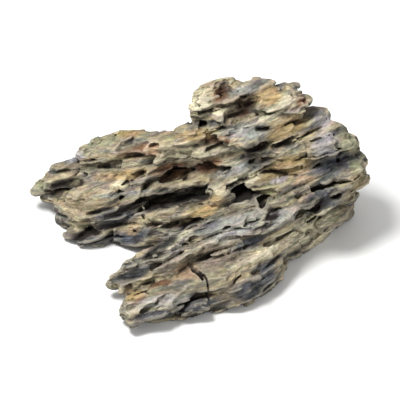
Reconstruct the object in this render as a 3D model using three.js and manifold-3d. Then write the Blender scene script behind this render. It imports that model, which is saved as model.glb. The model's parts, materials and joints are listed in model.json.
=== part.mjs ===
// A dragon stone: one weathered clay-slate boulder for an aquarium or a rock garden, resting on the ground.
// Units are millimetres, +Z is up, +Y runs from the display face to the back, and the origin is the middle of the
// footprint's box, on the ground.
//
// The stone is a pack of beds, as the real one is. Each bed is drawn flat, as an outline in plan with its own level and
// thickness. The beds are joined, the weather's hollows are cut out, and then the whole pack is bent to its dip.
import * as THREE from "three";
import { mergeVertices } from "three/addons/utils/BufferGeometryUtils.js";
import Module from "manifold-3d";

const wasm = await Module();
wasm.setup();

// How the pack of beds lies: it climbs steeply to the right, less so past the bend, and sinks a little to the back.
const BEND_X = 10;
const CLIMB_LEFT = 0.28;
const CLIMB_RIGHT = 0.12;
const BEND_WIDTH = 15;
const BACK_DIP = 0.12;
const PIVOT_Y = 80;
const WAVE_HEIGHT = 1.6;
const WAVE_LENGTH = 62;

// How finely the beds are drawn.
const EDGE_STEP = 8.5;
const SEED = 1201;
const RAGGED = 1.7;
const UNEVEN = 0.16;
const LONGEST_EDGE = 30;
const SHORTEST_EDGE = 1.2;
const GROUND_SLAB = 120;
const REACH = 200;

// Rings that make a bed's worn edge, from underside to top: the share of the thickness, and how far it is drawn in.
const EDGE_RINGS = [
  { rise: 0.0, inset: 4.5 },
  { rise: 0.3, inset: 0.0 },
  { rise: 0.72, inset: 1.0 },
  { rise: 1.0, inset: 4.5 },
];

// The beds from the ground up. level is the underside's height below the pivot line before the pack is bent.
const BEDS = [
  {
    name: "heel", level: -27, thick: 18,
    outline: [
      [4, 18], [22, 15], [44, 29], [55, 41], [62, 57], [70, 73], [90, 94], [114, 124], [116, 140],
      [88, 150], [44, 154], [4, 120],
    ],
  },
  {
    name: "sole", level: -12, thick: 18,
    outline: [
      [-48, 3], [-23, 7], [-3, 11], [14, 14], [30, 18], [50, 33], [60, 47], [65, 69], [88, 95],
      [116, 128], [111, 147], [84, 153], [40, 158], [0, 147], [-22, 104], [-38, 60], [-49, 25],
    ],
  },
  {
    name: "toe", level: 4, thick: 9,
    outline: [
      [-51, 6], [-40, 4], [-23, 11], [-6, 22], [8, 19], [24, 18], [46, 32], [57, 44], [64, 67],
      [88, 96], [117, 126], [112, 149], [60, 154], [0, 155], [-30, 74], [-54, 30],
    ],
  },
  {
    name: "spur_low", level: 7, thick: 13.5,
    outline: [
      [-58, 6], [-50, -8], [-39, -2], [-24, -8], [-17, 4], [-8, 16], [4, 16], [21, 17], [26, 25],
      [42, 36], [56, 46], [65, 61], [75, 78], [99, 107], [115, 120], [118, 141], [60, 158],
      [0, 148], [-30, 62], [-46, 40], [-60, 22],
    ],
  },
  {
    name: "spur_mid", level: 19, thick: 13,
    outline: [
      [-67, 36], [-62, 24], [-59, 15], [-50, 24], [-36, 28], [-17, 36], [-6, 42], [11, 47],
      [28, 53], [41, 53], [58, 60], [74, 70], [84, 80], [70, 98], [20, 104], [-2, 86], [-10, 68],
      [-24, 54], [-42, 42], [-58, 45],
    ],
  },
  {
    name: "spur_crest", level: 29, thick: 9.5,
    outline: [
      [-55, 32], [-33, 39], [-23, 43], [-14, 52], [-3, 58], [8, 62], [21, 62], [36, 52],
      [50, 54], [66, 62], [78, 76], [40, 98], [6, 86], [-6, 71], [-20, 59], [-34, 48], [-50, 42],
    ],
  },
  {
    name: "wing_foot", level: 18, thick: 15,
    outline: [
      [-98, 112], [-96, 102], [-92, 94], [-80, 90], [-61, 92], [-44, 84], [-36, 77], [-20, 74],
      [0, 78], [40, 76], [66, 70], [84, 88], [100, 106], [114, 118], [118, 138], [100, 153],
      [40, 152], [-30, 157], [-70, 145], [-92, 132],
    ],
  },
  {
    name: "ochre_shelf", level: 31, thick: 12,
    outline: [
      [-107, 118], [-104, 110], [-92, 98], [-81, 97], [-59, 96], [-41, 86], [-19, 82], [1, 82],
      [28, 80], [45, 76], [59, 74], [73, 74], [86, 80], [104, 90], [116, 97], [128, 111],
      [122, 123], [116, 138], [80, 150], [0, 163], [-60, 155], [-100, 138],
    ],
  },
  {
    name: "slate_shelf", level: 41, thick: 13.5,
    outline: [
      [-108, 124], [-104, 112], [-92, 99], [-81, 93], [-59, 92], [-44, 99], [-33, 101],
      [-18, 105], [4, 104], [9, 88], [14, 84], [21, 86], [24, 97], [39, 96], [46, 88], [56, 84],
      [68, 84], [80, 88], [94, 98], [107, 106], [119, 111], [124, 121], [115, 140], [80, 157],
      [0, 159], [-60, 162], [-96, 138],
    ],
  },
  {
    name: "wing_slab", level: 46, thick: 18.5,
    outline: [
      [-125, 140], [-117, 132], [-106, 118], [-99, 108], [-81, 96], [-66, 96], [-59, 103],
      [-56, 113], [-50, 119], [-41, 122], [-34, 128], [-20, 134], [10, 136], [10, 158],
      [-40, 165], [-80, 162], [-104, 157], [-118, 148],
    ],
  },
  {
    name: "middle_slab", level: 53, thick: 15,
    outline: [
      [-41, 113], [-34, 118], [-17, 125], [-6, 126], [8, 122], [25, 110], [41, 114], [52, 106],
      [69, 98], [80, 104], [90, 110], [112, 112], [118, 118], [116, 130], [104, 141], [92, 150],
      [60, 164], [0, 161], [-40, 164],
    ],
  },
  {
    name: "wing_plate", level: 62, thick: 10.5,
    outline: [
      [-114, 141], [-92, 136], [-72, 129], [-47, 120], [-36, 121], [-28, 120], [-10, 126],
      [10, 140], [0, 157], [-40, 160], [-76, 163], [-98, 152],
    ],
  },
  {
    name: "lilac_slab", level: 66, thick: 12.5,
    outline: [
      [-38, 114], [-30, 114], [-17, 120], [0, 119], [21, 112], [36, 110], [45, 109], [59, 105],
      [74, 102], [91, 98], [102, 100], [114, 100], [117, 106], [112, 119], [105, 128],
      [94, 136], [90, 149], [60, 156], [0, 165], [-30, 146],
    ],
  },
  {
    name: "wing_top", level: 71, thick: 13,
    outline: [
      [-93, 141], [-84, 133], [-74, 130], [-58, 127], [-41, 121], [-28, 117], [-12, 120],
      [0, 124], [0, 143], [-20, 143], [-34, 149], [-50, 157], [-64, 160], [-78, 157], [-88, 150],
    ],
  },
  {
    name: "neck", level: 77, thick: 10.5,
    outline: [
      [-20, 118], [-3, 120], [11, 118], [25, 105], [34, 101], [41, 100], [50, 109], [66, 110],
      [80, 116], [90, 126], [95, 137], [88, 147], [60, 155], [20, 161], [-4, 152], [-14, 136],
    ],
  },
  {
    name: "head_low", level: 86, thick: 11.5,
    outline: [
      [-8, 142], [-6, 138], [7, 131], [16, 122], [22, 119], [34, 119], [50, 118], [63, 121],
      [76, 122], [81, 124], [78, 134], [66, 146], [50, 158], [34, 160], [16, 162], [2, 156],
    ],
  },
  {
    name: "head_top", level: 96, thick: 9.5,
    outline: [
      [-9, 146], [-3, 138], [8, 134], [18, 138], [30, 132], [44, 124], [60, 122], [76, 120],
      [83, 122], [80, 133], [67, 144], [52, 156], [35, 162], [16, 162], [0, 156],
    ],
  },
  {
    name: "crown", level: 103, thick: 7,
    outline: [
      [-5, 149], [6, 144], [20, 148], [34, 141], [48, 134], [62, 129], [72, 127], [68, 138],
      [54, 151], [37, 159], [18, 161], [2, 156],
    ],
  },
];

// Hollows where softer clay washed out: centre, half sizes, and the turn in plan, in degrees.
const HOLLOWS = [
  { at: [-14, 106, 41], half: [27, 17, 5], turn: 8 },
  { at: [31, 96, 43], half: [10, 13, 5], turn: 0 },
  { at: [46, 84, 40], half: [4, 9, 4], turn: 0 },
  { at: [54, 80, 36], half: [5, 9, 3.5], turn: 30 },
  { at: [84, 90, 41], half: [9, 12, 5], turn: 30 },
  { at: [100, 100, 45], half: [9, 10, 4], turn: 35 },
  { at: [-18, 124, 53], half: [14, 10, 5], turn: 25 },
  { at: [9, 122, 57], half: [7, 9, 5], turn: 0 },
  { at: [29, 124, 95], half: [14, 13, 6], turn: -12 },
  { at: [18, 146, 105], half: [6, 6, 6], turn: 0 },
  { at: [5, 134, 86], half: [11, 8, 3.5], turn: 0 },
  { at: [10, 117, 79], half: [12, 9, 5], turn: 0 },
  { at: [42, 106, 78], half: [7, 10, 5], turn: 0 },
  { at: [-104, 122, 56], half: [12, 10, 5], turn: -40 },
  { at: [-86, 94, 31], half: [11, 8, 3.5], turn: 0 },
  { at: [-64, 92, 41], half: [11, 7, 3], turn: 0 },
  { at: [-7, 12, 6], half: [17, 9, 6], turn: 20 },
  { at: [29, 28, 10], half: [5, 8, 7], turn: 0 },
  { at: [-49, 122, 75], half: [10, 7, 4.5], turn: -10 },
  { at: [102, 108, 63], half: [17, 11, 5], turn: 5 },
  { at: [-60, 160, 60], half: [16, 10, 6], turn: 5 },
  { at: [20, 165, 76], half: [13, 12, 7], turn: 0 },
  { at: [60, 158, 44], half: [20, 12, 6], turn: -8 },
  { at: [-20, 162, 38], half: [18, 13, 6], turn: 6 },
  { at: [96, 148, 20], half: [14, 10, 7], turn: -40 },
  { at: [66, 142, 88], half: [11, 9, 6], turn: -40 },
  { at: [20, 95, -14], half: [44, 30, 15], turn: 40 },
  { at: [-1, 30, 19], half: [1.3, 14, 5], turn: 22 },
];

// A repeatable value from -1 to 1 for each whole number.
function scatter(n) {
  const s = Math.sin(n * 127.1 + 311.7) * 43758.5453;
  return 2 * (s - Math.floor(s)) - 1;
}

// A closed geometry as a solid.
function solid(geometry) {
  geometry.deleteAttribute("normal");
  geometry.deleteAttribute("uv");
  const merged = mergeVertices(geometry, 1e-4);
  return new wasm.Manifold(
    new wasm.Mesh({
      numProp: 3,
      vertProperties: merged.attributes.position.array,
      triVerts: new Uint32Array(merged.index.array),
    }),
  );
}

// The outline's points at even steps, each with the direction that points out of the bed.
function rim(outline) {
  const path = new THREE.Path(outline.map(([x, y]) => new THREE.Vector2(x, y)));
  path.closePath();
  const count = Math.round(path.getLength() / EDGE_STEP);
  const points = path.getSpacedPoints(count).slice(0, count);
  return points.map((point, i) => {
    const before = points[(i + count - 1) % count];
    const after = points[(i + 1) % count];
    const along = after.clone().sub(before).normalize();
    return { point, out: new THREE.Vector2(along.y, -along.x) };
  });
}

// One bed: rings round its edge, closed by its flat underside and top.
function bed({ level, thick, outline }, index) {
  const edge = rim(outline);
  const rings = EDGE_RINGS.map(({ rise, inset }, ring) =>
    edge.map(({ point, out }, i) => {
      const ragged = RAGGED * scatter(index * SEED + ring * 131 + i);
      const moved = out.clone().multiplyScalar(ragged - inset).add(point);
      return [moved.x, moved.y, level + rise * thick];
    }),
  );
  const count = edge.length;
  const faces = [];
  for (let ring = 0; ring + 1 < rings.length; ring++) {
    for (let i = 0; i < count; i++) {
      const next = (i + 1) % count;
      const low = ring * count;
      const high = low + count;
      faces.push(low + i, low + next, high + next, low + i, high + next, high + i);
    }
  }
  // Both caps take the triangles of the plain outline, so the rings always close.
  const top = (rings.length - 1) * count;
  for (const [a, b, c] of THREE.ShapeUtils.triangulateShape(edge.map(({ point }) => point), [])) {
    faces.push(c, b, a, top + a, top + b, top + c);
  }
  const geometry = new THREE.BufferGeometry();
  geometry.setAttribute("position", new THREE.Float32BufferAttribute(rings.flat(2), 3));
  geometry.setIndex(faces);
  return solid(geometry);
}

// One hollow: a lens with an uneven surface.
function hollow({ at, half, turn }) {
  const ball = new THREE.IcosahedronGeometry(1, 1);
  ball.deleteAttribute("normal");
  ball.deleteAttribute("uv");
  const geometry = mergeVertices(ball);
  const points = geometry.attributes.position;
  for (let i = 0; i < points.count; i++) {
    const size = 1 + UNEVEN * scatter(i + 61 * at[0]);
    points.setXYZ(i, points.getX(i) * size, points.getY(i) * size, points.getZ(i) * size);
  }
  geometry.scale(...half);
  geometry.rotateZ(THREE.MathUtils.degToRad(turn));
  geometry.translate(...at);
  return solid(geometry);
}

// Splits every edge that is too long at its middle, so that the faces can bend.
function refine(positions, triangles) {
  const points = [...positions];
  let faces = [...triangles];
  const corner = (i) => new THREE.Vector3(points[3 * i], points[3 * i + 1], points[3 * i + 2]);
  for (let pass = 0; pass < 4; pass++) {
    const middles = new Map();
    const middle = (a, b) => {
      if (corner(a).distanceTo(corner(b)) < LONGEST_EDGE) return null;
      const key = Math.min(a, b) + "_" + Math.max(a, b);
      if (!middles.has(key)) {
        middles.set(key, points.length / 3);
        points.push(...corner(a).add(corner(b)).multiplyScalar(0.5).toArray());
      }
      return middles.get(key);
    };
    const finer = [];
    for (let f = 0; f < faces.length; f += 3) {
      const ring = [];
      for (let k = 0; k < 3; k++) {
        const a = faces[f + k];
        const m = middle(a, faces[f + ((k + 1) % 3)]);
        ring.push({ corner: a });
        if (m !== null) ring.push({ middle: m });
      }
      finer.push(...fill(ring));
    }
    faces = finer;
    if (!middles.size) break;
  }
  return { points, faces };
}

// The triangles of one face whose edges may have been split.
function fill(ring) {
  const id = (p) => p.corner ?? p.middle;
  const splits = ring.filter((p) => p.middle !== undefined).length;
  if (splits === 0) return ring.map(id);
  if (splits === 3) {
    const [a, ab, b, bc, c, ca] = ring.map(id);
    return [a, ab, ca, ab, b, bc, ca, bc, c, ab, bc, ca];
  }
  // Starts the fan on a middle, so that no triangle is flat.
  const start = ring.findIndex((p) => p.middle !== undefined);
  const turned = [...ring.slice(start), ...ring.slice(0, start)].map(id);
  const fan = [];
  for (let i = 1; i + 1 < turned.length; i++) fan.push(turned[0], turned[i], turned[i + 1]);
  return fan;
}

// How far the bedding lifts a point of the flat pack.
function lift(x, y) {
  const mean = (CLIMB_LEFT + CLIMB_RIGHT) / 2;
  const swing = (CLIMB_LEFT - CLIMB_RIGHT) / 2;
  const bend = Math.hypot(x - BEND_X, BEND_WIDTH) - Math.hypot(BEND_X, BEND_WIDTH);
  const wave = Math.sin((x + 0.4 * y) / (WAVE_LENGTH / (2 * Math.PI)));
  return mean * x - swing * bend - BACK_DIP * (y - PIVOT_Y) + WAVE_HEIGHT * wave;
}

function bend(pack) {
  const mesh = pack.getMesh();
  const { points, faces } = refine(mesh.vertProperties, mesh.triVerts);
  for (let i = 0; i < points.length; i += 3) points[i + 2] += lift(points[i], points[i + 1]);
  const geometry = new THREE.BufferGeometry();
  geometry.setAttribute("position", new THREE.Float32BufferAttribute(points, 3));
  geometry.setIndex(faces);
  return solid(geometry);
}

// Everything below the ground, as one block.
function ground() {
  const block = new THREE.BoxGeometry(2 * REACH, 2 * REACH, GROUND_SLAB);
  block.translate(0, PIVOT_Y, -GROUND_SLAB / 2);
  return solid(block);
}

// Draws each edge that is too short to matter to a point, where that keeps the skin closed and unfolded.
function simplify(positions, triangles) {
  const at = [];
  for (let i = 0; i < positions.length; i += 3) at.push(new THREE.Vector3().fromArray(positions, i));
  const around = at.map(() => new Set());
  const live = new Set();
  for (let f = 0; f < triangles.length; f += 3) {
    const face = [...triangles.slice(f, f + 3)];
    live.add(face);
    for (const i of face) around[i].add(face);
  }
  const reach = (i) => new Set([...around[i]].flat());
  const normal = ([p, q, r]) => q.clone().sub(p).cross(r.clone().sub(p)).normalize();
  const folds = (gone, kept) =>
    [...around[gone]].some((face) => {
      if (face.includes(kept)) return false;
      const before = normal(face.map((i) => at[i]));
      const after = normal(face.map((i) => at[i === gone ? kept : i]));
      return before.dot(after) < 0.3;
    });
  for (const face of live) {
    for (let k = 0; k < 3 && live.has(face); k++) {
      const ends = [face[k], face[(k + 1) % 3]].sort((a, b) => at[b].z - at[a].z);
      const [gone, kept] = ends;
      if (at[gone].distanceTo(at[kept]) > SHORTEST_EDGE || folds(gone, kept)) continue;
      const shared = [...reach(gone)].filter((i) => reach(kept).has(i)).length;
      if (shared !== 4) continue;
      for (const old of [...around[gone]]) {
        if (old.includes(kept)) {
          live.delete(old);
          for (const i of old) around[i].delete(old);
        } else {
          old[old.indexOf(gone)] = kept;
          around[kept].add(old);
        }
      }
      around[gone].clear();
    }
  }
  return { points: at.flatMap((p) => p.toArray()), faces: [...live].flat() };
}

function stone() {
  const pack = BEDS.map(bed).reduce((joined, next) => joined.add(next));
  const worn = HOLLOWS.map(hollow).reduce((left, cut) => left.subtract(cut), pack);
  const mesh = bend(worn).subtract(ground()).getMesh();
  const { points, faces } = simplify(mesh.vertProperties, mesh.triVerts);
  const geometry = new THREE.BufferGeometry();
  geometry.setAttribute("position", new THREE.Float32BufferAttribute(points, 3));
  geometry.setIndex(faces);
  geometry.computeBoundingBox();
  const middle = geometry.boundingBox.getCenter(new THREE.Vector3());
  geometry.translate(-middle.x, -middle.y, 0);
  geometry.computeVertexNormals();
  return geometry;
}

const material = new THREE.MeshStandardMaterial({ color: 0x8f8271, roughness: 0.92, metalness: 0 });
const dragonStone = new THREE.Mesh(stone(), material);
dragonStone.name = "dragon_stone";

const root = new THREE.Group();
root.add(dragonStone);
export default root;
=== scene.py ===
# %% [markdown]
# # A dragon stone, washed out of layered clay
#
# Dragon stone is old clay that hardened in thin beds. Rain and roots washed the soft beds out and left
# the hard ones standing as ledges, with pits between them. The construction model already has the main
# shelves, the low spur and the big hollows. This lesson gives the stone its skin: the thin leaves of
# clay, the broken edges, the pits, and the mineral colours.
#
# The construction model is loaded as a frame that never changes. Everything in it is in metres.

# %% Load the frame
import json
import math

import bpy
import numpy as np
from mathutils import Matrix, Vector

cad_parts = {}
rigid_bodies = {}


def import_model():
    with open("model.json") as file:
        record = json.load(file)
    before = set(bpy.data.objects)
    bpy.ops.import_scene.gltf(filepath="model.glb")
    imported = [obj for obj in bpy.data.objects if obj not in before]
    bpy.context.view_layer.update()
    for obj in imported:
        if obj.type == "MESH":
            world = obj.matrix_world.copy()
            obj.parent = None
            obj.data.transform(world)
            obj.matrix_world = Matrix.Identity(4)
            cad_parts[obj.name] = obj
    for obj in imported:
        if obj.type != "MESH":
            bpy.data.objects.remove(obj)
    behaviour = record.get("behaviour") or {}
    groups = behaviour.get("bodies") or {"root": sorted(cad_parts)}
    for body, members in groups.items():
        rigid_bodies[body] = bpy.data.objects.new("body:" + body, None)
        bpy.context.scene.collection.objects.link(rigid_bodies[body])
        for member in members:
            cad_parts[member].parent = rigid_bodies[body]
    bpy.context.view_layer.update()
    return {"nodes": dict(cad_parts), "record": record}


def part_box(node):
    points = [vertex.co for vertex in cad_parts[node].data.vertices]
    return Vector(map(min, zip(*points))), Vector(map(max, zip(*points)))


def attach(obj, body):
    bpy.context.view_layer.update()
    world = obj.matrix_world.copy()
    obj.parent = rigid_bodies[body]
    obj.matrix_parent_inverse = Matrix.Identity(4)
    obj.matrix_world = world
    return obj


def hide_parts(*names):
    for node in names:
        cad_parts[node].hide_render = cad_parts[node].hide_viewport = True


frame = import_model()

import openvdb as vdb
from mathutils import Vector

LOW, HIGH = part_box("dragon_stone")
print("stone from", tuple(round(v, 3) for v in LOW), "to", tuple(round(v, 3) for v in HIGH))

# %% [markdown]
# ## The blank
#
# A carver starts from a block that has the right size and main shapes. The skin does too: it starts from
# a copy of the construction solid, so a change to the solid carries over. It could be modelled again
# from a cube, but then each shelf would have to be matched by eye. The copy's faces come in loose, so
# corners that lie in one place are merged. From here to the end of the carving it is measured in
# millimetres, because beds, pits and grit are all a few millimetres across.

# %% Copy the solid and merge its corners
MM = 0.001
MERGE = 1e-6  # metres

bpy.ops.object.select_all(action="DESELECT")
blank = frame["nodes"]["dragon_stone"].copy()
blank.data = blank.data.copy()
blank.name = "stone_blank"
blank.parent = None
bpy.context.scene.collection.objects.link(blank)
blank.select_set(True)
bpy.context.view_layer.objects.active = blank
bpy.ops.object.mode_set(mode="EDIT")
bpy.ops.mesh.select_all(action="SELECT")
bpy.ops.mesh.remove_doubles(threshold=MERGE)
bpy.ops.object.mode_set(mode="OBJECT")
print("blank has", len(blank.data.vertices), "corners and", len(blank.data.polygons), "faces")

# %% [markdown]
# ## Repeatable chance
#
# No two ledges of the stone broke alike, but the model has to come out the same each time. One table of
# random numbers, made from a fixed seed, stands behind every bump. A displace modifier with a noise
# texture is the usual way to use such chance. It only pushes faces along one direction, though, and the
# stone needs ledges that are cut from below. So the noise is written as a function of place, which the
# carving can use in any direction.

# %% A table of random numbers, and smooth noise made from it
TABLE_BITS = 16
TABLE_SEED = 7
TABLE = np.random.default_rng(TABLE_SEED).uniform(-1, 1, 1 << TABLE_BITS).astype(np.float32)
MIX_A, MIX_B, MIX_C, MIX_SEED = 73856093, 19349663, 83492791, 1640531  # large and odd, so neighbours differ


def pick(a, b, c, seed):
    """The table's value for a whole-numbered place."""
    mixed = (a * MIX_A) ^ (b * MIX_B) ^ (c * MIX_C) ^ (seed * MIX_SEED)
    return TABLE[mixed & ((1 << TABLE_BITS) - 1)]


def noise(x, y, z, seed):
    """Smooth values from -1 to 1, with bumps about one unit across. Dividing a place by a length in
    millimetres makes the bumps that long."""
    whole, part = [], []
    for v in (x, y, z):
        below = np.floor(v)
        past = (v - below).astype(np.float32)
        whole.append(below.astype(np.int64))
        part.append(past * past * (3 - 2 * past))  # level at both ends, so no creases show
    value = 0.0
    for corner in range(8):
        step = (corner & 1, corner >> 1 & 1, corner >> 2 & 1)
        weight = 1.0
        for far, p in zip(step, part):
            weight = weight * (p if far else 1 - p)
        value = value + weight * pick(*(w + far for w, far in zip(whole, step)), seed)
    return value


print("noise at one place:", round(float(noise(*np.full((3, 1), 0.3), 1)[0]), 4))

# %% [markdown]
# Dry clay doesn't break in waves. It breaks in plates with straight edges, each tilted a little its own
# way. Such plates are the cells around scattered points: every place belongs to its nearest point, and
# takes that point's height and tilt. They give the chiselled facets that smooth noise can't.

# %% Broken plates
SCATTER = 0.48  # how far a plate's middle strays from the middle of its square
PLATE_STEP, PLATE_TILT = 0.6, 1.4


def plates(x, y, bed, seed):
    """The height of angular plates about one unit across, each tilted its own way: from about -1 to 1."""
    column, row = np.floor(x).astype(np.int64), np.floor(y).astype(np.int64)
    nearest = np.full(x.shape, np.inf, np.float32)
    value = np.zeros(x.shape, np.float32)
    for i in (-1, 0, 1):
        for j in (-1, 0, 1):
            a, b = column + i, row + j
            away_x = x - a - 0.5 - SCATTER * pick(a, b, bed, seed)
            away_y = y - b - 0.5 - SCATTER * pick(a, b, bed, seed + 1)
            distance = away_x**2 + away_y**2
            closer = distance < nearest
            nearest = np.where(closer, distance, nearest)
            tilted = away_x * pick(a, b, bed, seed + 3) + away_y * pick(a, b, bed, seed + 4)
            height = PLATE_STEP * pick(a, b, bed, seed + 2) + PLATE_TILT * tilted
            value = np.where(closer, height, value)
    return value


steps = plates(*np.mgrid[0:4:9j, 0:4:9j].astype(np.float32), 0, 1)
print("plates range from", round(float(steps.min()), 2), "to", round(float(steps.max()), 2))

# %% [markdown]
# ## How the beds lie
#
# The mud was laid down flat, and the whole pile was tilted later. The beds now climb to the right, and
# more steeply past a bend in the middle. The thin leaves also dip to the back, and more than the big
# shelves do, so each shelf's tread cuts through several of them and shows their edges as small steps.
# That is what makes the stone look layered from above. One formula for the height of the bedding serves
# the leaves, the pits and the colours, so they all lie the same way.

# %% The height of the bedding under any point, in millimetres
BEND_X, BEND_Y = 9.7, 2.0
CLIMB, SWING, BEND_WIDTH = 0.30, 0.10, 15.0
LEAF_DIP = 0.34


def bed_lift(x, y):
    """How far the tilt has lifted the beds."""
    return CLIMB * x + SWING * np.hypot(x - BEND_X, BEND_WIDTH) - LEAF_DIP * (y - BEND_Y)


for across in (-100, 0, 100):
    print("bedding at", across, "mm lies", round(float(bed_lift(across, 0.0)), 1), "mm up")

# %% [markdown]
# The water that carved the stone ran along it, up to the right and back, so the grooves that it left are
# long and the crests between them are sharp. The beds themselves are gently waved.

# %% The way of the water, its ridges, and the waved beds
FLOW = math.radians(22)
GROOVE = 3.2  # how deep the grooves are
WAVES = [  # how high a wave is, how long, wide and thick, all in millimetres, and its seed
    (3.0, 70, 30, 60, 1),
    (0.9, 26, 12, 25, 2),
]


def flow(x, y):
    """Distance along and across the way that the water ran."""
    return x * math.cos(FLOW) + y * math.sin(FLOW), y * math.cos(FLOW) - x * math.sin(FLOW)


def ridges(along, across, up, seed):
    """Long lenses with sharp crests, from about -2 in the grooves to 1 on the crests."""
    return 1 - GROOVE * np.abs(noise(along, across, up, seed))


def bed_height(x, y, z):
    """How high a point lies in the beds, in millimetres."""
    along, across = flow(x, y)
    flat = z - bed_lift(x, y)
    waved = flat
    for rise, length, width, thickness, seed in WAVES:
        waved = waved + rise * noise(along / length, across / width, flat / thickness, seed)
    return waved


middle = [np.full(1, v / MM) for v in (LOW + HIGH) / 2]
print("the middle of the stone lies", round(float(bed_height(*middle)[0]), 1), "mm up in the beds")

# %% [markdown]
# ## From faces to a block of clay
#
# Thin leaves overhang each other, so they can't be made by pushing the blank's faces in and out: the
# faces would cross. Sculpting could do it, but not the same way twice. The blank is turned into a volume
# instead, a block of small cells that each know how far they are from the surface. Clay is then added or
# taken away cell by cell, and overhangs, holes and cracks come out whole.

# %% Read numbers from a mesh
def read(source, name, kind=np.float32):
    """Three numbers for each item of the source, as rows."""
    values = np.empty(len(source) * 3, kind)
    source.foreach_get(name, values)
    return values.reshape(-1, 3)


corners = read(blank.data.vertices, "co") / MM
blank.data.calc_loop_triangles()
faces = read(blank.data.loop_triangles, "vertices", np.int32)
print("read", len(corners), "corners and", len(faces), "faces")

# %% Measure every cell's distance to the surface
CELL = 0.85
REACH = 8.0  # how far from the surface the depth is measured
TRUSTED = 0.95 * REACH  # further off, it is cut short
MARGIN = 4.0  # room for what is added

cells = vdb.createLinearTransform(voxelSize=CELL)
solid = vdb.FloatGrid.createLevelSetFromPolygons(
    corners, triangles=faces, transform=cells, halfWidth=REACH / CELL
)
first = np.floor((corners.min(0) - MARGIN) / CELL).astype(int)
last = np.ceil((corners.max(0) + MARGIN) / CELL).astype(int)
depth = np.empty(last - first + 1, np.float32)
solid.copyToArray(depth, ijk=tuple(int(v) for v in first))
near = np.argwhere(np.abs(depth) < TRUSTED)
x, y, z = ((near + first) * CELL).astype(np.float32).T
print("block of", depth.shape, "cells,", len(near), "of them near the surface")

# %% [markdown]
# Two measures of the block are needed again and again: how much of each cell is clay, and how much clay
# there is around it. The second one is a blur of the first.

# %% How full a cell is, and how full its surroundings are
def filled(block):
    """How much of each cell is clay, from 0 to 1."""
    return np.clip(0.5 - block / CELL, 0, 1)


def blur(block, reach):
    """The mean over a box that reaches this many cells each way. It is taken three times, which comes close
    to a round blur."""
    for axis in (0, 1, 2) * 3:
        ends = [block.take([0] * (reach + 1), axis), block, block.take([-1] * reach, axis)]
        total = np.cumsum(np.concatenate(ends, axis), axis, dtype=np.float32)
        count = block.shape[axis]
        window = 2 * reach + 1
        block = (total.take(range(window, window + count), axis) - total.take(range(count), axis)) / window
    return block


print("clay in the block:", round(float(filled(depth).sum() * CELL**3 / 1000)), "cubic centimetres")

# %% [markdown]
# ## Where the stone broke clean
#
# Some faces are fresh breaks. They are broad and smooth, and the leaves hardly show on them. The face of
# the spur and the front of the left wing are the main ones. Each is an egg-shaped zone in which the
# leaves fade out. They could be painted by hand as vertex weights, but a short list of zones is easier to
# read and to change.

# %% Calm zones
CALM = [  # middle and half sizes in millimetres, and how far the leaves fade
    ((4, -50, 22), (42, 20, 15), 0.8),  # the spur's face
    ((28, -46, 14), (10, 9, 8), 0.85),  # its right end
    ((42, -18, 30), (24, 10, 9), 0.75),  # the band above that
    ((20, 5, 38), (28, 15, 9), 0.7),  # the smooth slope behind the spur
    ((-84, 34, 22), (26, 20, 16), 0.7),  # the wing's front
    ((15, 12, 49), (9, 9, 8), 0.8),  # the tooth that hangs over the black gap
    ((91, 10, 48), (17, 12, 10), 0.55),  # the dark face on the right
    ((34, 32, 58), (12, 10, 8), 0.6),  # the slab behind the tooth
    ((-28, 3, 31), (9, 8, 6), 0.8),  # the left end of the valley
    ((-60, 40, 48), (30, 14, 9), 0.5),  # the tan shelf over the wing's front
    ((-50, 74, 66), (44, 20, 12), 0.4),  # the wing's top
    ((-14, 46, 54), (20, 10, 7), 0.6),  # the brow over the brown hollow
    ((52, 66, 100), (28, 26, 14), 0.35),  # the head's right shoulder
    ((50, 40, 90), (24, 12, 9), 0.65),  # the shelf under the head
    ((64, 30, 60), (22, 16, 9), 0.7),  # the ochre shelf on the right
]
CALM_FROM = 0.3  # a place counts as calm from here


def calm(x, y, z):
    """How calm a place is: 0 where the leaves stand out in full, and 1 where nothing of them is left."""
    value = 0.0
    for middle, half, strength in CALM:
        away = sum(((v - m) / h) ** 2 for v, m, h in zip((x, y, z), middle, half))
        value = np.maximum(value, strength * np.exp(-(away**2)))
    return value


print("calm cells:", int((calm(x, y, z) > CALM_FROM).sum()), "of", len(near))

# %% [markdown]
# ## The leaves
#
# The beds split into leaves 2.6 to 8.5 mm thick. Between some of them lie soft seams, under 2 mm thick,
# which wash out and leave dark lines. Each leaf stands out or back by its own amount, as hard and soft
# ones do.

# %% Pile up the leaves
LEAF_SEED = 21
LOWEST, HIGHEST = -60.0, 160.0
SEAM_SHARE = 0.24
SEAM_THICKNESS, SEAM_STAND = (1.0, 1.7), (-3.8, -2.2)
LEAF_THICKNESS, LEAF_STAND = (2.6, 8.5), (-1.3, 1.5)

draw = np.random.default_rng(LEAF_SEED)
level, stand = [LOWEST], []
while level[-1] < HIGHEST:
    seam = draw.random() < SEAM_SHARE
    level.append(level[-1] + draw.uniform(*(SEAM_THICKNESS if seam else LEAF_THICKNESS)))
    stand.append(draw.uniform(*(SEAM_STAND if seam else LEAF_STAND)))
level, stand = np.array(level), np.array(stand, np.float32)


def leaf_at(waved):
    """The number of the leaf at a height in the beds."""
    return np.clip(np.searchsorted(level, waved) - 1, 0, len(stand) - 1)


along, across = flow(x, y)
waved = bed_height(x, y, z)
leaf = leaf_at(waved)
height = (waved - level[leaf]) / (level[leaf + 1] - level[leaf])
print(len(stand), "leaves, the thickest", round(float(np.diff(level).max()), 1), "mm")

# %% [markdown]
# The edge of a leaf is worn in four ways. The leaf stands out or back as a whole, but neighbours are
# joined in places, so no dark line runs right round the stone. The water's ridges run over the leaves.
# Plates broke off, large ones through three leaves at a time and small ones from one leaf. And each edge
# is rounded above and undercut below, where the next leaf down was softer. Thin tips and fins are spared,
# or they would wear away.

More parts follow.
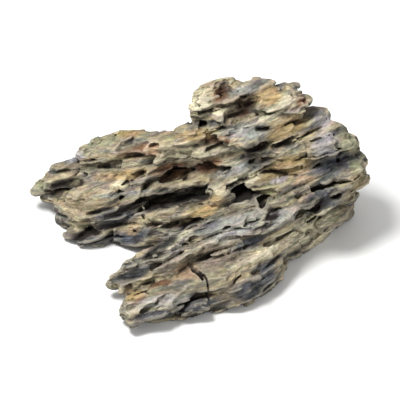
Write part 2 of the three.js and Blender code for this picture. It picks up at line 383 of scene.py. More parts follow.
# %% Wear each leaf's edge
RIDGES = [  # how far they stand out, how long, wide and thick they are, all in millimetres, and their seed
    (1.3, 50, 13, 12, 3),
    (0.8, 24, 6.5, 5.5, 13),
]
PLATES = [  # how far they stand out, how long and wide they are, how many leaves they span, and their seed
    (2.4, 26, 14, 3, 5),
    (1.1, 13, 7, 1, 9),
]
WANDER = 3.0  # bends the straight sides of the plates
APART, APART_SPREAD, APART_LIMITS = 0.65, 1.1, (0.12, 1.2)
ROUNDED, UNDERCUT = 0.5, 2.0
CRUMBS = 0.2
DEEPEST, PROUDEST = -7.5, 2.0

wander = WANDER * noise(along / 24, across / 12, waved / 30, 6)
apart = APART + APART_SPREAD * noise(along / 26, across / 13, leaf * 1.7, 17)
apart = np.clip(apart, *APART_LIMITS)  # least where neighbours are joined
edge = stand[leaf] * apart
for proud, length, width, thickness, seed in RIDGES:
    edge = edge + proud * ridges(along / length, across / width, waved / thickness, seed)
for proud, length, width, through, seed in PLATES:
    edge += proud * plates((along + wander) / length, (across + wander) / width, leaf // through, seed)
edge -= apart * (ROUNDED * np.abs(2 * height - 1) ** 6 + UNDERCUT * (1 - height) ** 3)
edge *= 1 - calm(x, y, z)
edge += CRUMBS * noise(x / 2.6, y / 2.6, z / 1.8, 11)
edge = np.clip(edge, DEEPEST, PROUDEST)
print("edges stand out by", round(float(edge.min()), 1), "to", round(float(edge.max()), 1), "mm")

# %% Spare the thin tips, and wear the block
STURDY = 3.4  # how far around a spot its clay is measured
FRAIL, TO_SOUND = 0.10, 0.32  # wear grows from none at this share of clay, to full this much above it
LEAST_WEAR = 0.25  # but it is never less than this

sturdy = blur(filled(depth), round(STURDY / CELL))[tuple(near.T)]
wear = np.clip((sturdy - FRAIL) / TO_SOUND, LEAST_WEAR, 1)
edge = np.where(edge < 0, edge * wear, edge)
leaves = np.zeros_like(depth)
leaves[tuple(near.T)] = edge
depth -= leaves
print("spared cells:", int((wear < 1).sum()))

# %% [markdown]
# ## Lenses
#
# Water that gets in between two beds digs a hollow like a flat lens, and hard knots in the clay have the
# same shape. Cutting with spheres would give the same round holes everywhere. So one function makes an
# uneven lens that lies in the bedding, and both the hollows and the knots are made with it.

# %% An uneven lens in the block
LENS_DIP = 0.12
SMALLEST_LUMP, LUMP_STRETCH = 3.0, 1.6


def lens(middle, half, turn, rough, seed):
    """A flat, uneven lens that lies in the bedding: its block of cells, and how deep in it each cell is.
    Sizes are in millimetres, and turn is in radians."""
    middle = np.array(middle, float)
    reach = max(half) * 1.5 + 2  # room for its uneven edge
    low = np.clip(((middle - reach) / CELL).astype(int) - first, 0, depth.shape)
    high = np.clip(((middle + reach) / CELL).astype(int) - first + 2, low, depth.shape)
    block = tuple(slice(a, b) for a, b in zip(low, high))
    lines = [(np.arange(a, b) + f) * CELL - m for a, b, f, m in zip(low, high, first, middle)]
    dx, dy, dz = np.meshgrid(*lines, indexing="ij")
    dz = dz - CLIMB * dx + LENS_DIP * dy
    run = dx * math.cos(turn) + dy * math.sin(turn)
    side = dy * math.cos(turn) - dx * math.sin(turn)
    away = np.sqrt((run / half[0]) ** 2 + (side / half[1]) ** 2 + (dz / half[2]) ** 2)
    lump = max(min(half), SMALLEST_LUMP)
    away += rough * noise(dx / lump / LUMP_STRETCH + seed, dy / lump / LUMP_STRETCH, dz / lump, seed)
    return block, (1 - away) * min(half)


print("a lens reaches", round(float(lens((0, 0, 20), (10, 6, 3), 0.0, 0.3, 1)[1].max()), 1), "mm deep")

# %% [markdown]
# ## Knots of hard clay
#
# Between the shelves the real stone is filled with harder clay, which carries the shelf above. Without it
# the wearing would cut right through. These knots are added before anything is dug, and the leaves run
# over them. The construction solid doesn't have them: its gaps are open, and the thickest knot, low down
# at the right end, stands about 18 mm out of it.

# %% Fill the gaps between the shelves
KNOT_ROUGH = 0.4
KNOT_SEED = 50  # clear of the washouts' seeds
KNOTS = [  # middle and half sizes in millimetres, and turn in plan in degrees
    ((-50, 38, 37), (14, 10, 5), 15),
    ((-16, 23, 32), (28, 13, 4), 8),
    ((32, 17, 40), (13, 12, 4), 5),
    ((29, -48, 14), (9, 10, 9), 20),
    ((-117, 58, 19), (10, 7, 6), -10),
    ((46, 4, 39), (8, 9, 4), 20),
    ((54, -3, 41), (11, 9, 5), 20),
    ((-34, -30, 28), (11, 9, 5), 20),
    ((40, 71, 104), (16, 10, 6), 0),
    ((91, 12, 46), (19, 11, 7), 30),
    ((101, 29, 61), (18, 12, 6), 5),
    ((-89, 25, 7), (13, 9, 6), 10),
    ((-72, 22, 9), (20, 9, 8), 12),
    ((-46, -65, 14), (9, 7, 5), 15),
    ((-50, -41, 26), (14, 7, 4.5), 20),
    ((28, -51, 20), (12, 8, 4), 20),
    ((-5, -64, 8), (15, 8, 4.5), 20),
    ((34, -22, 26), (12, 9, 6), 25),
    ((58, 66, 102), (16, 10, 7), 0),
    ((72, 56, 102), (9, 9, 8), 10),
    ((12, 52, 83), (12, 10, 5), -5),
    ((2, 63, 97), (6, 6, 4), 0),
    ((37, 32, 56), (15, 10, 6), 12),
    ((97, 16, 27), (12, 9, 6), 30),
    ((14, 12, 47), (9, 7, 7), 0),
    ((33, 33, 57), (12, 9, 6), 10),
    ((-45, -33, 25), (9, 7, 5), 20),
    ((45, 36, 61), (10, 8, 5), 10),
    ((4, 77, 64), (11, 8, 5), 10),
    ((80, 8, 50), (12, 9, 5), 30),
]
for number, (middle, half, turn) in enumerate(KNOTS):
    block, inside = lens(middle, half, math.radians(turn), KNOT_ROUGH, KNOT_SEED + number)
    depth[block] = np.minimum(depth[block], -inside - leaves[block])
print("knots:", len(KNOTS))

# %% [markdown]
# ## Washouts
#
# Where a soft bed was thick, the water dug right in under the bed above. These are the dark places that
# give the stone its depth. The leaves run on inside them, so their walls are layered too. How dark each
# one is painted, as a near-black painted shade for the shadow inside it, is noted down for the colours.

# %% Dig the washouts
WASHOUTS = [  # middle and half sizes in millimetres, turn in plan in degrees, and how dark its painted shade is
    ((-24, 48, 42), (10, 7, 3.8), 12, 0.25),  # brown hollow over the middle shelf
    ((4, 53, 51), (6, 6, 2.4), 0, 0.3),  # a second one to its right
    ((-13, 35, 36), (23, 15, 5), 8, 1.0),  # long black gap under the middle shelf
    ((-44, 20, 34), (20, 13, 3.2), 12, 1.0),  # its left end
    ((-31, 24, 43), (6, 6, 2.8), 10, 0.5),  # small recess over it
    ((31, 25, 46), (12, 13, 4.6), 5, 1.0),  # black gap past the hanging tooth
    ((45, 7, 45), (5, 7, 2.8), 20, 1.0),  # small holes that follow it down to the right
    ((54, -6, 48), (7, 4, 1.8), 40, 1.0),
    ((27, 22, 55), (10, 6, 1.6), 10, 0.9),  # thin slot over the tooth
    ((83, 1, 47), (6, 6, 2.4), 35, 0.9),  # two slots on the right
    ((98, 8, 53), (5, 5, 2.2), 30, 0.9),
    ((-14, 4, 30), (18, 9, 3.8), 22, 0.45),  # valley behind the spur
    ((-38, -4, 24), (9, 8, 4), 30, 1.0),  # its left end
    ((-101, 44, 32), (12, 8, 6), 12, 1.0),  # pit on the left tip
    ((-84, 15, 11), (10, 8, 2.4), 5, 1.0),  # slot in the left lobe
    ((-2, -45, 28), (10, 1.2, 10), -62, 1.0),  # crack across the spur's face, in two steps
    ((4, -55, 21), (9, 0.9, 9), -72, 1.0),
    ((-33, -82, 8), (8, 7, 2.2), 10, 0.9),  # under the spur's tip
    ((32, 55, 98), (11, 9, 6.5), 10, 0.7),  # brown pit in the head
    ((18, 70, 105), (4, 8, 6), 0, 0.5),  # small pit to its left
    ((-3, 57, 84), (7, 6, 1.6), -5, 0.4),  # gap under the head
    ((11, 43, 72), (10, 8, 4.6), 0, 0.6),  # hollows in the shelf below it
    ((41, 34, 79), (7, 7, 3.8), 0, 0.9),
    ((59, 29, 83), (10, 7, 2.6), 15, 0.6),
    ((-50, 50, 65), (9, 8, 3.6), -5, 0.5),  # rusty hollow on the wing
    ((37, 55, 103), (6, 8, 6), 0, 0.55),  # top of the head's brown pit
    ((-82, 2, 2), (18, 8, 6), 12, 0.3),  # scoop under the left lobe
    ((1, 89, 71), (10, 7, 5), 5, 0.25),  # dent at the back, under the head
]
WASHOUT_ROUGH = 0.32
LAYERED = 0.7  # how much of the leaves is left in the walls of a hollow
WASHOUT_SHADE_EDGE = 1.6  # how sharply the painted shade ends outside it

# painted shade: how dark each washout is painted, nearly black at its middle
washout_shade_block = np.zeros_like(depth)
for number, (middle, half, turn, dark) in enumerate(WASHOUTS):
    block, inside = lens(middle, half, math.radians(turn), WASHOUT_ROUGH, number)
    depth[block] = np.maximum(depth[block], inside + LAYERED * leaves[block])
    washout_shade_block[block] = np.maximum(washout_shade_block[block], dark * np.clip(1 + inside / min(half) * WASHOUT_SHADE_EDGE, 0, 1))
print("washouts:", len(WASHOUTS))

# %% [markdown]
# Roots and grit left smaller pits. They are scattered by chance over the whole skin, evenly by area, and
# long in the way of the water. The calm faces and the underside are left out.

# %% Scatter the pits
PITS = 300
PIT_SEED = 8
LEAST, SPREAD, RARITY = 1.0, 1.9, 2.5  # most pits are close to the least half size, in millimetres
LONGER, FLATTER = (1.2, 2.6), (0.45, 0.8)
TWIST = 0.5  # how far a pit turns from the way of the water, in radians
SUNK = 0.3
PIT_ROUGH = 0.6
UNDERSIDE = -0.7  # a face that looks down more than this is left out

chance = np.random.default_rng(PIT_SEED)
area = np.array([p.area for p in blank.data.polygons])
centre = np.array([p.center for p in blank.data.polygons]) / MM
facing = np.array([p.normal for p in blank.data.polygons])
dug = 0
for spot in chance.choice(len(area), size=PITS, p=area / area.sum()):
    size = LEAST + SPREAD * chance.random() ** RARITY
    half = (size * chance.uniform(*LONGER), size, size * chance.uniform(*FLATTER))
    turn = FLOW + chance.uniform(-TWIST, TWIST)
    middle = centre[spot] - facing[spot] * (size * chance.uniform(-SUNK, SUNK))
    if facing[spot][2] > UNDERSIDE and calm(*centre[spot]) < CALM_FROM:
        block, inside = lens(middle, half, turn, PIT_ROUGH, int(spot))
        depth[block] = np.maximum(depth[block], inside + LAYERED * leaves[block])
        dug += 1
print("pits:", dug)

# %% [markdown]
# ## Back to a mesh
#
# Slivers with hardly any clay around them would break off in the hand, so they are worn away first. The
# ground face is cut flat, because the stone rests on it. The block's surface is then drawn as quads. A
# remesh modifier could draw it too, but it can't read the block.

# %% Draw the surface
THIN = 0.25  # a spot with less than this share of clay around it wears away
AROUND = 2  # how far around it, in cells

sliver = (THIN - blur(filled(depth), AROUND)) * 2 * CELL / THIN
depth = np.maximum(depth, sliver)
rise = ((np.arange(depth.shape[2]) + first[2]) * CELL).astype(np.float32)
depth = np.maximum(depth, -rise[None, None, :])
worn = vdb.FloatGrid()
worn.background = REACH
worn.transform = cells
worn.copyFromArray(depth, ijk=tuple(int(v) for v in first), tolerance=0)
points, quads = worn.convertToQuads(isovalue=0)

skin = bpy.data.meshes.new("stone_skin")
skin.vertices.add(len(points))
skin.vertices.foreach_set("co", (points * MM).astype(np.float32).ravel())
skin.loops.add(quads.size)
skin.loops.foreach_set("vertex_index", quads[:, ::-1].astype(np.int32).ravel())
skin.polygons.add(len(quads))
skin.polygons.foreach_set("loop_start", np.arange(0, quads.size, 4, dtype=np.int32))
skin.update(calc_edges=True)
skin.validate()
stone = bpy.data.objects.new("stone_skin", skin)
bpy.context.scene.collection.objects.link(stone)
bpy.data.objects.remove(blank)
print("drawn with", len(skin.polygons), "quads")

# %% [markdown]
# The digging leaves a few chips that hang free. Everything that is joined to the ground face is kept, and
# the rest is deleted.

# %% Drop the loose chips
bpy.ops.object.select_all(action="DESELECT")
stone.select_set(True)
bpy.context.view_layer.objects.active = stone
ground = np.array(frame["record"]["mounts"][0]["pos_m"]) / MM
underneath = np.argmin(((points - ground) ** 2).sum(1))
skin.vertices.foreach_set("select", np.arange(len(points)) == underneath)
skin.edges.foreach_set("select", np.zeros(len(skin.edges), bool))
skin.polygons.foreach_set("select", np.zeros(len(skin.polygons), bool))
bpy.ops.object.mode_set(mode="EDIT")
bpy.ops.mesh.select_mode(type="VERT")
bpy.ops.mesh.select_linked()
bpy.ops.mesh.select_all(action="INVERT")
bpy.ops.mesh.delete(type="VERT")
bpy.ops.mesh.select_all(action="SELECT")
bpy.ops.mesh.normals_make_consistent(inside=False)
bpy.ops.object.mode_set(mode="OBJECT")
print("dropped", len(points) - len(skin.vertices), "points of loose chips")

# %% [markdown]
# The mesh is thinned where it is smooth, so that its faces go where the detail is. Smooth shading hides
# the cells.

# %% Thin the mesh
MOST_TRIANGLES = 190000

thin = stone.modifiers.new("thin", "DECIMATE")
thin.ratio = min(1.0, MOST_TRIANGLES / (2 * len(skin.polygons)))
thin.use_collapse_triangulate = True
bpy.ops.object.modifier_apply(modifier=thin.name)
bpy.ops.object.shade_smooth()
print("thinned to", len(skin.polygons), "triangles")

# %% [markdown]
# ## What each spot of the skin knows
#
# The colours need to know where they are: how high in the beds, on which leaf, on an edge or in a nook,
# deep in a hollow, or in a washout, where shade is painted. Nooks and hollows come from one measure, how
# much clay there is around a point, near by and further off. The values could be baked to images, but
# stored on the points they need no unwrapping.

# %% Read the block at each point of the skin
place = read(skin.vertices, "co") / MM
out = read(skin.vertex_normals, "vector")


def sample(field, step, lift):
    """The value of a block of cells at each point, lifted off the skin by lift."""
    at = ((place + lift * out) / CELL - first) / step
    at = np.clip(at, 0, np.array(field.shape) - 1.001)
    whole = at.astype(int)
    part = at - whole
    value = 0
    for corner in range(8):
        side = np.array((corner & 1, corner >> 1 & 1, corner >> 2 & 1))
        weight = np.prod(np.where(side, part, 1 - part), axis=1)
        value = value + weight * field[tuple((whole + side).T)]
    return value


def keep(name, values):
    """Stores one value for each point of the skin, for the material to read."""
    layer = skin.attributes.new(name, "FLOAT", "POINT")
    layer.data.foreach_set("value", np.asarray(values, np.float32))
    spread = np.percentile(values, (5, 25, 50, 75, 95))
    print(name, "is mostly", " ".join(f"{v:.3f}" for v in spread))


# %% Measure the beds, nooks and hollows
NOOK, HOLLOW = 1.6, 5.0  # how far around a point its clay is measured, in millimetres
COARSE = 2  # a hollow is wide enough to be measured in every second cell
LIFT = 2.0  # and it is read this many millimetres off the skin

px, py, pz = place.T
beds = bed_height(px, py, pz)
clay = filled(depth)
keep("bed", beds * MM)
keep("tint", stand[leaf_at(beds)])
keep("nook", sample(blur(clay, round(NOOK / CELL)), 1, 0.0))
coarse = blur(clay, 1)[::COARSE, ::COARSE, ::COARSE]
keep("hollow", sample(blur(coarse, round(HOLLOW / COARSE / CELL)), COARSE, LIFT))
# the painted shade of the washouts
keep("painted_washout_shade", sample(washout_shade_block, 1, 0.0))

# %% [markdown]
# ## Where the minerals lie
#
# Iron, lime and fine grey clay moved with the water and settled in patches. They are what tells one
# dragon stone from the next, so they are laid out one by one on the face that is meant to be seen, each as
# a long patch that leans with the beds. Each patch goes right through the stone, so the back is as mixed as
# the front. Its edge is only soft here. The material breaks it up.

# %% The patches of each mineral, and of painted light and shade
DISPLAY = math.radians(40)
PATCHES = {  # across and up the face, half length, half width, all in mm, and lean in degrees
    "moss": [
        (-120, 54, 7, 6, 0), (-73, 87, 14, 5, 15), (0, 109, 7, 3, 20), (107, 86, 8, 8, 20),
        (114, 69, 4, 7, 60), (51, 51, 10, 4, 20), (89, 31, 11, 6, 25), (75, 15, 7, 6, 30),
    ],
    "lilac": [
        (-93, 76, 6, 4, 10), (88, 102, 8, 8, 30), (91, 84, 11, 8, 20), (58, 58, 6, 3, 20),
    ],
    "ash": [
        (28, 24, 26, 8, 20), (30, 66, 19, 6, 10), (60, 30, 14, 7, 25), (-60, 47, 20, 2, 8),
        (-30, -31, 22, 5, 10), (-20, 12, 12, 7, 25), (37, 94, 12, 6, 15), (32, 124, 9, 3, 5),
    ],
    "ochre": [
        (-51, 93, 11, 3, 5), (-55, 61, 19, 4, 6), (49, 119, 10, 7, 30), (-3, 91, 15, 4, 10),
        (2, 34, 16, 5, 20), (62, 95, 14, 7, 30), (62, 67, 24, 8, 20), (-47, -26, 7, 4, 10),
        (11, 44, 6, 3, 10), (50, 50, 9, 4, 10),
    ],
    "rust": [
        (-43, 80, 17, 4, 8), (16, 121, 7, 7, 0), (30, 112, 12, 7, 20), (13, 87, 11, 4, -8),
        (-44, -30, 6, 3, 10), (74, 116, 5, 5, 60), (-21, 65, 13, 7, 10), (7, 69, 9, 6, 0),
        (-29, -18, 8, 2, 15),
    ],
    "peach": [
        (-35, 80, 7, 4, 5), (-50, 22, 6, 4, 10), (75, 57, 8, 3, 20), (-11, -9, 9, 7, 0),
    ],
    # pale cream clay, and also painted light on faces turned from the main lamp, such as the lower right
    # flank
    "cream_and_painted_light": [
        (-53, 69, 10, 2, 5), (-62, 55, 6, 3, 5), (1, 117, 12, 8, 30), (20, 110, 12, 4, 10),
        (59, 112, 19, 4, 35), (-3, 77, 30, 5, 6), (-17, 14, 25, 2, 32), (-12, 82, 16, 3, 8),
        (14, 51, 8, 5, 0), (33, 60, 14, 4, 10), (78, 21, 22, 7, 35), (90, 14, 14, 6, 40),
        (50, 9, 28, 5, 28),
    ],
    "tan": [
        (-84, 40, 19, 12, 10), (-7, 58, 17, 6, 15), (117, 57, 7, 8, 0), (-10, 80, 22, 6, 8),
        (28, -14, 12, 5, 20), (-33, -31, 22, 7, 10), (56, 13, 22, 6, 30), (-33, 31, 20, 4, 12),
    ],
    "taupe": [
        (15, 0, 24, 11, 22), (-18, -4, 14, 7, 20), (-80, 19, 16, 3, 10), (23, -25, 10, 6, 25),
    ],
    # blue-grey clay, and also painted shade on faces that lie in shadow, such as the right face
    "slate_and_painted_shade": [
        (-64, 31, 18, 6, 15), (-56, 14, 24, 6, 12), (-86, 12, 14, 5, 10), (-7, 22, 16, 6, 15),
        (12, 23, 10, 3, 22), (34, 12, 12, 3, 22), (97, 69, 18, 10, 20), (90, 42, 15, 9, 25),
        (-47, -9, 16, 4, 22), (-4, -33, 16, 6, 12), (41, -20, 17, 8, 25), (-33, -40, 16, 3, 8),
        (48, -8, 8, 8, 40),
    ],
    # near-black patches of painted shade along the washouts and dark gaps
    "painted_gap_shade": [
        (-72, 35, 11, 2, 12), (-69, 25, 11, 2, 12), (-3, 100, 7, 2.5, -10), (58, 84, 10, 2, 30),
        (-104, 53, 10, 4, 8), (-27, 49, 8, 3, 0), (-7, 44, 16, 5, 8), (-34, 38, 11, 3, 12),
        (31, 46, 12, 4, 4), (21, 40, 6, 3, 10), (47, 38, 5, 3, 0), (53, 31, 6, 3, 20), (26, 54, 10, 1, 5),
        (85, 40, 10, 5, 25), (98, 47, 9, 3, 25), (-7, 25, 10, 3, 15), (-26, 11, 15, 3, 28),
        (47, 23, 13, 2, 28), (38, 82, 6, 4, 10), (-3, -39, 19, 3, 10), (-33, 5, 9, 4, 25),
    ],
}
print(sum(len(spots) for spots in PATCHES.values()), "patches of", len(PATCHES), "kinds of mineral, painted light and painted shade")

# %% Lay them on the skin
DRIFT_ACROSS, DRIFT_UP = 3.5, 1.6  # how far the edges wander, in millimetres
FADED = 1.5  # a patch is full to half of its size, and has faded out at this many times its size

face_up = py * math.sin(DISPLAY) + pz * math.cos(DISPLAY)
drift_x = px + DRIFT_ACROSS * noise(px / 16, py / 16, pz / 10, 31)
drift_up = face_up + DRIFT_UP * noise(px / 14, py / 14, pz / 8, 32)
for patch_kind, spots in PATCHES.items():
    cover = np.zeros(len(px))
    for middle_x, middle_up, half_length, half_width, lean in spots:
        lean = math.radians(lean)
        dx, up = drift_x - middle_x, drift_up - middle_up
        run = (dx * math.cos(lean) + up * math.sin(lean)) / half_length
        side = (up * math.cos(lean) - dx * math.sin(lean)) / half_width
        cover = np.maximum(cover, FADED - np.hypot(run, side))
    keep(patch_kind, np.clip(cover, 0, 1))

# %% [markdown]
# ## The clay
#
# Hardened clay has no gloss: light sinks in and comes back evenly. Its colour is built in three layers. The
# beds were laid down in turn as grey, tan and ochre mud. Minerals stained them later, and a few of the
# patches also paint light or shade. Last comes a coat by shape: pale dust and a painted highlight on the
# worn edges, and painted shade in the nooks, hollows and washouts and on faces that look down. The material
# adds them in that order, each over the last.
#
# Every colour is written as it would be measured on the stone. One function turns it into the linear
# values that shaders use.

# %% Colours, and a helper that adds a node
def linear(hex_colour):
    """An sRGB hex colour as the linear values that shaders work in."""
    parts = [int(hex_colour[i : i + 2], 16) / 255 for i in (1, 3, 5)]
    return (*[c / 12.92 if c <= 0.04045 else ((c + 0.055) / 1.055) ** 2.4 for c in parts], 1.0)


def add(tree, kind, settings, inputs):
    """Adds one node. settings are its own properties. inputs are values, or sockets to link from."""
    node = tree.nodes.new(kind)
    for name, value in settings.items():
        setattr(node, name, value)
    for name, value in inputs.items():
        if isinstance(value, bpy.types.NodeSocket):
            tree.links.new(value, node.inputs[name])
        else:
            node.inputs[name].default_value = value
    return node


print("mid clay is", tuple(round(v, 3) for v in linear("#88806d")[:3]))

# %% Start the clay
CLAY_SHINE = 0.25

# hardened clay: matt, in thin bands from grey to ochre, gritty at its breaks, with painted shade in its
# seams
clay_material = bpy.data.materials.new("hardened_bedded_clay")
clay_material.use_nodes = True
tree = clay_material.node_tree
shader = tree.nodes["Principled BSDF"]
shader.inputs["Specular IOR Level"].default_value = CLAY_SHINE

where = add(tree, "ShaderNodeTexCoord", {}, {})
known = {}
for name in ("bed", "tint", "nook", "hollow", "painted_washout_shade", *PATCHES):
    known[name] = add(tree, "ShaderNodeAttribute", {"attribute_name": name}, {}).outputs["Fac"]
print("the clay can read", ", ".join(known))

# %% [markdown]
# Patterns in the clay are drawn out along the beds. Noise that is read at a stretched place does that:
# where the height in the beds counts six times, a patch 30 mm long is 5 mm thick. Bands of mud are drawn
# out most. Grains and broken chips hardly are, or the clay would look like wood.

# %% The places where the patterns are read
STRETCHES = (6.0, 4.0, 2.5)

flat = add(tree, "ShaderNodeSeparateXYZ", {}, {"Vector": where.outputs["Object"]})
place_at = {}
for stretch in STRETCHES:
    up = add(tree, "ShaderNodeMath", {"operation": "MULTIPLY"}, {0: known["bed"], 1: stretch})
    inputs = {"X": flat.outputs["X"], "Y": flat.outputs["Y"], "Z": up.outputs[0]}
    place_at[stretch] = add(tree, "ShaderNodeCombineXYZ", {}, inputs).outputs[0]
print("patterns are drawn out", STRETCHES, "times")

# %% The noises of the clay
NOISES = {  # length in metres, times longer than thick, and how finely they are broken up
    "bands": (0.030, 6.0, 4.0),  # beds of one colour, 5 mm thick
    "ragged": (0.010, 4.0, 5.0),  # torn edges of mineral stains
    "streaks": (0.007, 4.0, 5.0),  # laminae 1.7 mm thick, drawn coarser than life to be seen at all
    "grit": (0.0022, 2.5, 5.0),  # grains up to 2 mm long and 1 mm thick
}
FINE_SHARE = 0.62  # how strong the finer parts of each noise are
MOTTLE, MOTTLE_DETAIL = 0.013, 2.0

made = {}
for name, (size, stretch, detail) in NOISES.items():
    inputs = {"Vector": place_at[stretch], "Scale": 1 / size, "Detail": detail, "Roughness": FINE_SHARE}
    made[name] = add(tree, "ShaderNodeTexNoise", {}, inputs).outputs["Fac"]
inputs = {"Vector": place_at[6.0], "Scale": 1 / MOTTLE, "Detail": MOTTLE_DETAIL}
mottle = add(tree, "ShaderNodeTexNoise", {}, inputs).outputs["Color"]
print("noises:", ", ".join(made), "and mottle")

# %% [markdown]
# A broken face is covered with small chip scars about 5 mm long, with flat sides and sharp crests.
# Voronoi cells give that. Their distance is measured along the axes, which makes each cell a little
# pyramid and not a cone.

# %% Chip scars
CHIP = 0.0050

inputs = {"Vector": place_at[2.5], "Scale": 1 / CHIP}
scars = add(tree, "ShaderNodeTexVoronoi", {"distance": "MANHATTAN"}, inputs)
one_scar = add(tree, "ShaderNodeSeparateXYZ", {}, {"Vector": scars.outputs["Color"]}).outputs["X"]
print("chip scars about", 1000 * CHIP, "mm long")

# %% [markdown]
# The mud came down in turn dark grey, grey, tan, pale ochre and brown. A ramp turns the widest noise into
# those bands.

# %% The colours of the beds
BANDS = [(0.30, "#4a4948"), (0.42, "#6c6860"), (0.50, "#88806d"), (0.58, "#9e9174"), (0.70, "#7f7562")]

ramp = add(tree, "ShaderNodeValToRGB", {}, {"Fac": made["bands"]})
stops = ramp.color_ramp.elements
BLANK_STOPS = len(stops)  # a new ramp has some already
for n, (at, shade) in enumerate(BANDS):
    stop = stops[n] if n < BLANK_STOPS else stops.new(at)
    stop.position = at
    stop.color = linear(shade)
colour = ramp.outputs["Color"]
print("bands:", len(stops))

# %% [markdown]
# ## Stains
#
# A stain soaks in along some laminae and not along others, so its edge is torn. The soft edge of each
# patch is added to the ragged noise, and only the sum decides where the stain shows. Each stain, and
# later each coat of edge dust and painted shade, is mixed over what is there already, so one function lays
# them all.

# %% A coat of colour
UNDER, OVER, MIXED = 6, 7, 2  # a mix node's colour sockets, by number, as other sockets share their names


def coat(under, shade, follows, start, full, most):
    """The colour under, coated with a shade where the socket follows goes from start to full."""
    inputs = {"Value": follows, "From Min": start, "From Max": full, "To Max": most}
    amount = add(tree, "ShaderNodeMapRange", {"interpolation_type": "SMOOTHSTEP"}, inputs)
    inputs = {"Factor": amount.outputs[0], UNDER: under, OVER: linear(shade)}
    return add(tree, "ShaderNodeMix", {"data_type": "RGBA"}, inputs).outputs[MIXED]


print("nodes before the first coat:", len(tree.nodes))

# %% Stain it with the minerals, and with patches of painted light and shade
PATCH_COLOURS = [  # patch, colour, and how fully it covers
    ("tan", "#a69778", 0.7),
    ("taupe", "#857a6b", 0.8),
    # blue-grey clay, partly painted shade on faces that lie in shadow
    ("slate_and_painted_shade", "#454a52", 0.85),
    ("ochre", "#a38a5b", 0.70),
    ("rust", "#6c4931", 0.85),
    ("moss", "#828468", 0.7),
    ("lilac", "#a29da1", 0.75),
    ("ash", "#90918d", 0.75),
    ("peach", "#a88d70", 0.7),
    # pale cream clay, partly painted light on faces turned from the main lamp
    ("cream_and_painted_light", "#cbc2a6", 0.8),
    # near-black painted shade along the washouts and dark gaps
    ("painted_gap_shade", "#1a1818", 0.95),
]
STARTS, FULL = 0.62, 1.45

for patch_kind, patch_colour, most in PATCH_COLOURS:
    torn = add(tree, "ShaderNodeMath", {"operation": "ADD"}, {0: known[patch_kind], 1: made["ragged"]})
    colour = coat(colour, patch_colour, torn.outputs[0], STARTS, FULL, most)
print("stains:", len(PATCH_COLOURS))

# %% [markdown]
# Two laminae of the same clay still differ: one held more iron, one is finer. A faint mottle shifts the
# hue, and streaks and the leaf's own tint make it lighter or darker.

# %% Vary its shade from lamina to lamina
MOTTLED = 0.25
SHADES = [  # what it follows, from where to where, and how light the clay is at each end
    (made["streaks"], 0.34, 0.68, 0.70, 1.32),
    (made["grit"], 0.34, 0.66, 0.82, 1.17),
    (one_scar, 0.0, 1.0, 0.86, 1.12),
    (known["tint"], -2.0, 1.5, 0.72, 1.17),
]

inputs = {"Factor": MOTTLED, UNDER: colour, OVER: mottle}
mix = {"data_type": "RGBA", "blend_type": "SOFT_LIGHT"}
colour = add(tree, "ShaderNodeMix", mix, inputs).outputs[MIXED]
mix = {"data_type": "RGBA", "blend_type": "MULTIPLY"}
for source, start, end, darker, lighter in SHADES:
    inputs = {"Value": source, "From Min": start, "From Max": end, "To Min": darker, "To Max": lighter}
    shade = add(tree, "ShaderNodeMapRange", {"interpolation_type": "SMOOTHSTEP"}, inputs)
    inputs = {"Factor": 1.0, UNDER: colour, OVER: shade.outputs[0]}
    colour = add(tree, "ShaderNodeMix", mix, inputs).outputs[MIXED]
print("shades:", len(SHADES))

# %% [markdown]
# ## Dust, painted highlight and painted shade
#
# Handling and rain leave the worn edges pale, and the same pale coat paints a highlight on them. Faces
# that look down get painted shade. Painted shade also darkens the hollows, washouts and nooks, and is
# nearly black at the bottom. Ambient occlusion could find such places at render time, but the measures
# stored on the points are steadier and cost nothing.

# %% Lay on edge dust, painted highlight and painted shade
DUST_AND_PAINTED_LIGHT_AND_SHADE = [  # what it follows, where it starts and where it is full, how fully it covers, and its colour
    ("nook", 0.44, 0.22, 0.32, "#cdc4af"),  # pale dust and a painted highlight on the worn edges
    ("upward", 0.15, -0.70, 0.80, "#2c2824"),  # painted shade on faces that look down
    ("hollow", 0.50, 0.80, 0.85, "#261c14"),  # brown painted shade in wide hollows
    ("painted_washout_shade", 0.25, 0.95, 0.97, "#1c1613"),  # near-black painted shade in the washouts
    ("nook", 0.54, 0.76, 0.85, "#1f1711"),  # painted shade in the seams and pits
]

known["upward"] = add(tree, "ShaderNodeSeparateXYZ", {}, {"Vector": where.outputs["Normal"]}).outputs["Z"]
for name, start, full, most, shade in DUST_AND_PAINTED_LIGHT_AND_SHADE:
    colour = coat(colour, shade, known[name], start, full, most)
tree.links.new(colour, shader.inputs["Base Color"])
print("coats of dust, painted highlight and painted shade:", len(DUST_AND_PAINTED_LIGHT_AND_SHADE))

# %% [markdown]
# ## Scars and grit
#
# Chip scars and grains too small for the mesh still break up the light. Two bumps stand in for them: the
# scars first, and the grit on top of them. A bump only changes how a face takes the light, which is
# enough at a depth of about a millimetre. Clay that is worn close shines a little more than crumbly clay,
# so the roughness goes with the ragged noise.

# %% Bump and roughness
BUMP_STRENGTH = 0.6
SCAR_DEPTH, GRIT_DEPTH = 0.0011, 0.0013
WORN, CRUMBLY = 0.80, 0.95
LEAST_RAGGED, MOST_RAGGED = 0.35, 0.65  # where nearly all of that noise lies

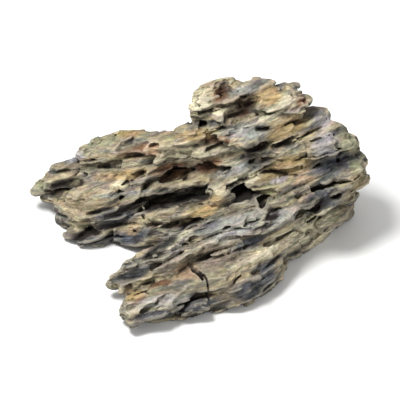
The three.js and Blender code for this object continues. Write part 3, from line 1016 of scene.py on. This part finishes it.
inputs = {"Height": scars.outputs["Distance"], "Strength": BUMP_STRENGTH, "Distance": SCAR_DEPTH}
bump = add(tree, "ShaderNodeBump", {}, inputs).outputs["Normal"]
inputs = {"Height": made["grit"], "Strength": BUMP_STRENGTH, "Distance": GRIT_DEPTH, "Normal": bump}
bump = add(tree, "ShaderNodeBump", {}, inputs).outputs["Normal"]
inputs = {"Value": made["ragged"], "From Min": LEAST_RAGGED, "From Max": MOST_RAGGED}
inputs.update({"To Min": WORN, "To Max": CRUMBLY})
crumbly = add(tree, "ShaderNodeMapRange", {"interpolation_type": "SMOOTHSTEP"}, inputs).outputs[0]
tree.links.new(bump, shader.inputs["Normal"])
tree.links.new(crumbly, shader.inputs["Roughness"])
print("clay has", len(tree.nodes), "nodes")

# %% Put it on the stone, and hang the stone on the frame
skin.materials.clear()
skin.materials.append(clay_material)
stone.name = "weathered_stone"
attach(stone, "root")
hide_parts("dragon_stone")
print(stone.name, "is made of", skin.materials[0].name)

# %% [markdown]
# ## Floor
#
# A pale matt floor shows where the stone stands, and throws some light back under its ledges.

# %% Floor
SPAN = HIGH.x - LOW.x
FLOOR_SIZE = 40 * SPAN  # far past the edges of the picture
PAPER_ROUGHNESS = 0.9

# white paper: matt, and bright enough to show the shadow
paper = bpy.data.materials.new("matt_white_paper")
paper.use_nodes = True
matt = paper.node_tree.nodes["Principled BSDF"]
matt.inputs["Base Color"].default_value = linear("#f4f4f2")
matt.inputs["Roughness"].default_value = PAPER_ROUGHNESS
bpy.ops.object.select_all(action="DESELECT")
bpy.ops.mesh.primitive_plane_add(size=FLOOR_SIZE, location=(0, 0, 0))
floor = bpy.context.object
floor.name = "floor"
floor.data.materials.append(paper)
print("floor", round(FLOOR_SIZE, 1), "m wide")

# %% [markdown]
# ## Light
#
# Soft white light from all round keeps the colours true. The main light stands above and a little to the
# left, so each ledge throws a shadow under itself. A weak broad light in front opens the darkest hollows.

# %% Lights
SKY_STRENGTH = 0.56
MIDDLE = (LOW + HIGH) / 2
LAMPS = [  # name, place, size in metres and power in watts
    ("key", (-0.35, -0.10, 0.95), 0.40, 12.4),
    ("front_fill", (0.6, -1.1, 0.5), 0.9, 3.4),
]

scene = bpy.context.scene
scene.view_settings.view_transform = "Standard"
world = bpy.data.worlds.new("studio")
scene.world = world
world.use_nodes = True
sky = world.node_tree.nodes["Background"]
sky.inputs["Color"].default_value = (1, 1, 1, 1)
sky.inputs["Strength"].default_value = SKY_STRENGTH
for name, stands, size, power in LAMPS:
    light = bpy.data.lights.new(name, "AREA")
    light.shape = "DISK"
    light.size = size
    light.energy = power
    lamp = bpy.data.objects.new(name, light)
    scene.collection.objects.link(lamp)
    lamp.location = stands
    lamp.rotation_euler = (MIDDLE - Vector(stands)).to_track_quat("-Z", "Y").to_euler()
    print(name, power, "W")

# %% [markdown]
# ## Camera
#
# The camera looks straight at the display face, down at 40 degrees. A long lens from far away keeps the
# near spur from looking larger than it is.

# %% Camera
LENS, SENSOR = 400.0, 36.0  # millimetres
FILL = 0.86  # how much of the picture's width the stone takes up

distance = SPAN / FILL * LENS / SENSOR
camera = bpy.data.objects.new("camera", bpy.data.cameras.new("camera"))
camera.data.lens = LENS
camera.data.sensor_width = SENSOR
scene.collection.objects.link(camera)
back = Vector((0, -math.cos(DISPLAY), math.sin(DISPLAY)))
camera.location = MIDDLE + back * distance
camera.rotation_euler = (-back).to_track_quat("-Z", "Y").to_euler()
scene.camera = camera
print("camera", round(distance, 2), "m away")
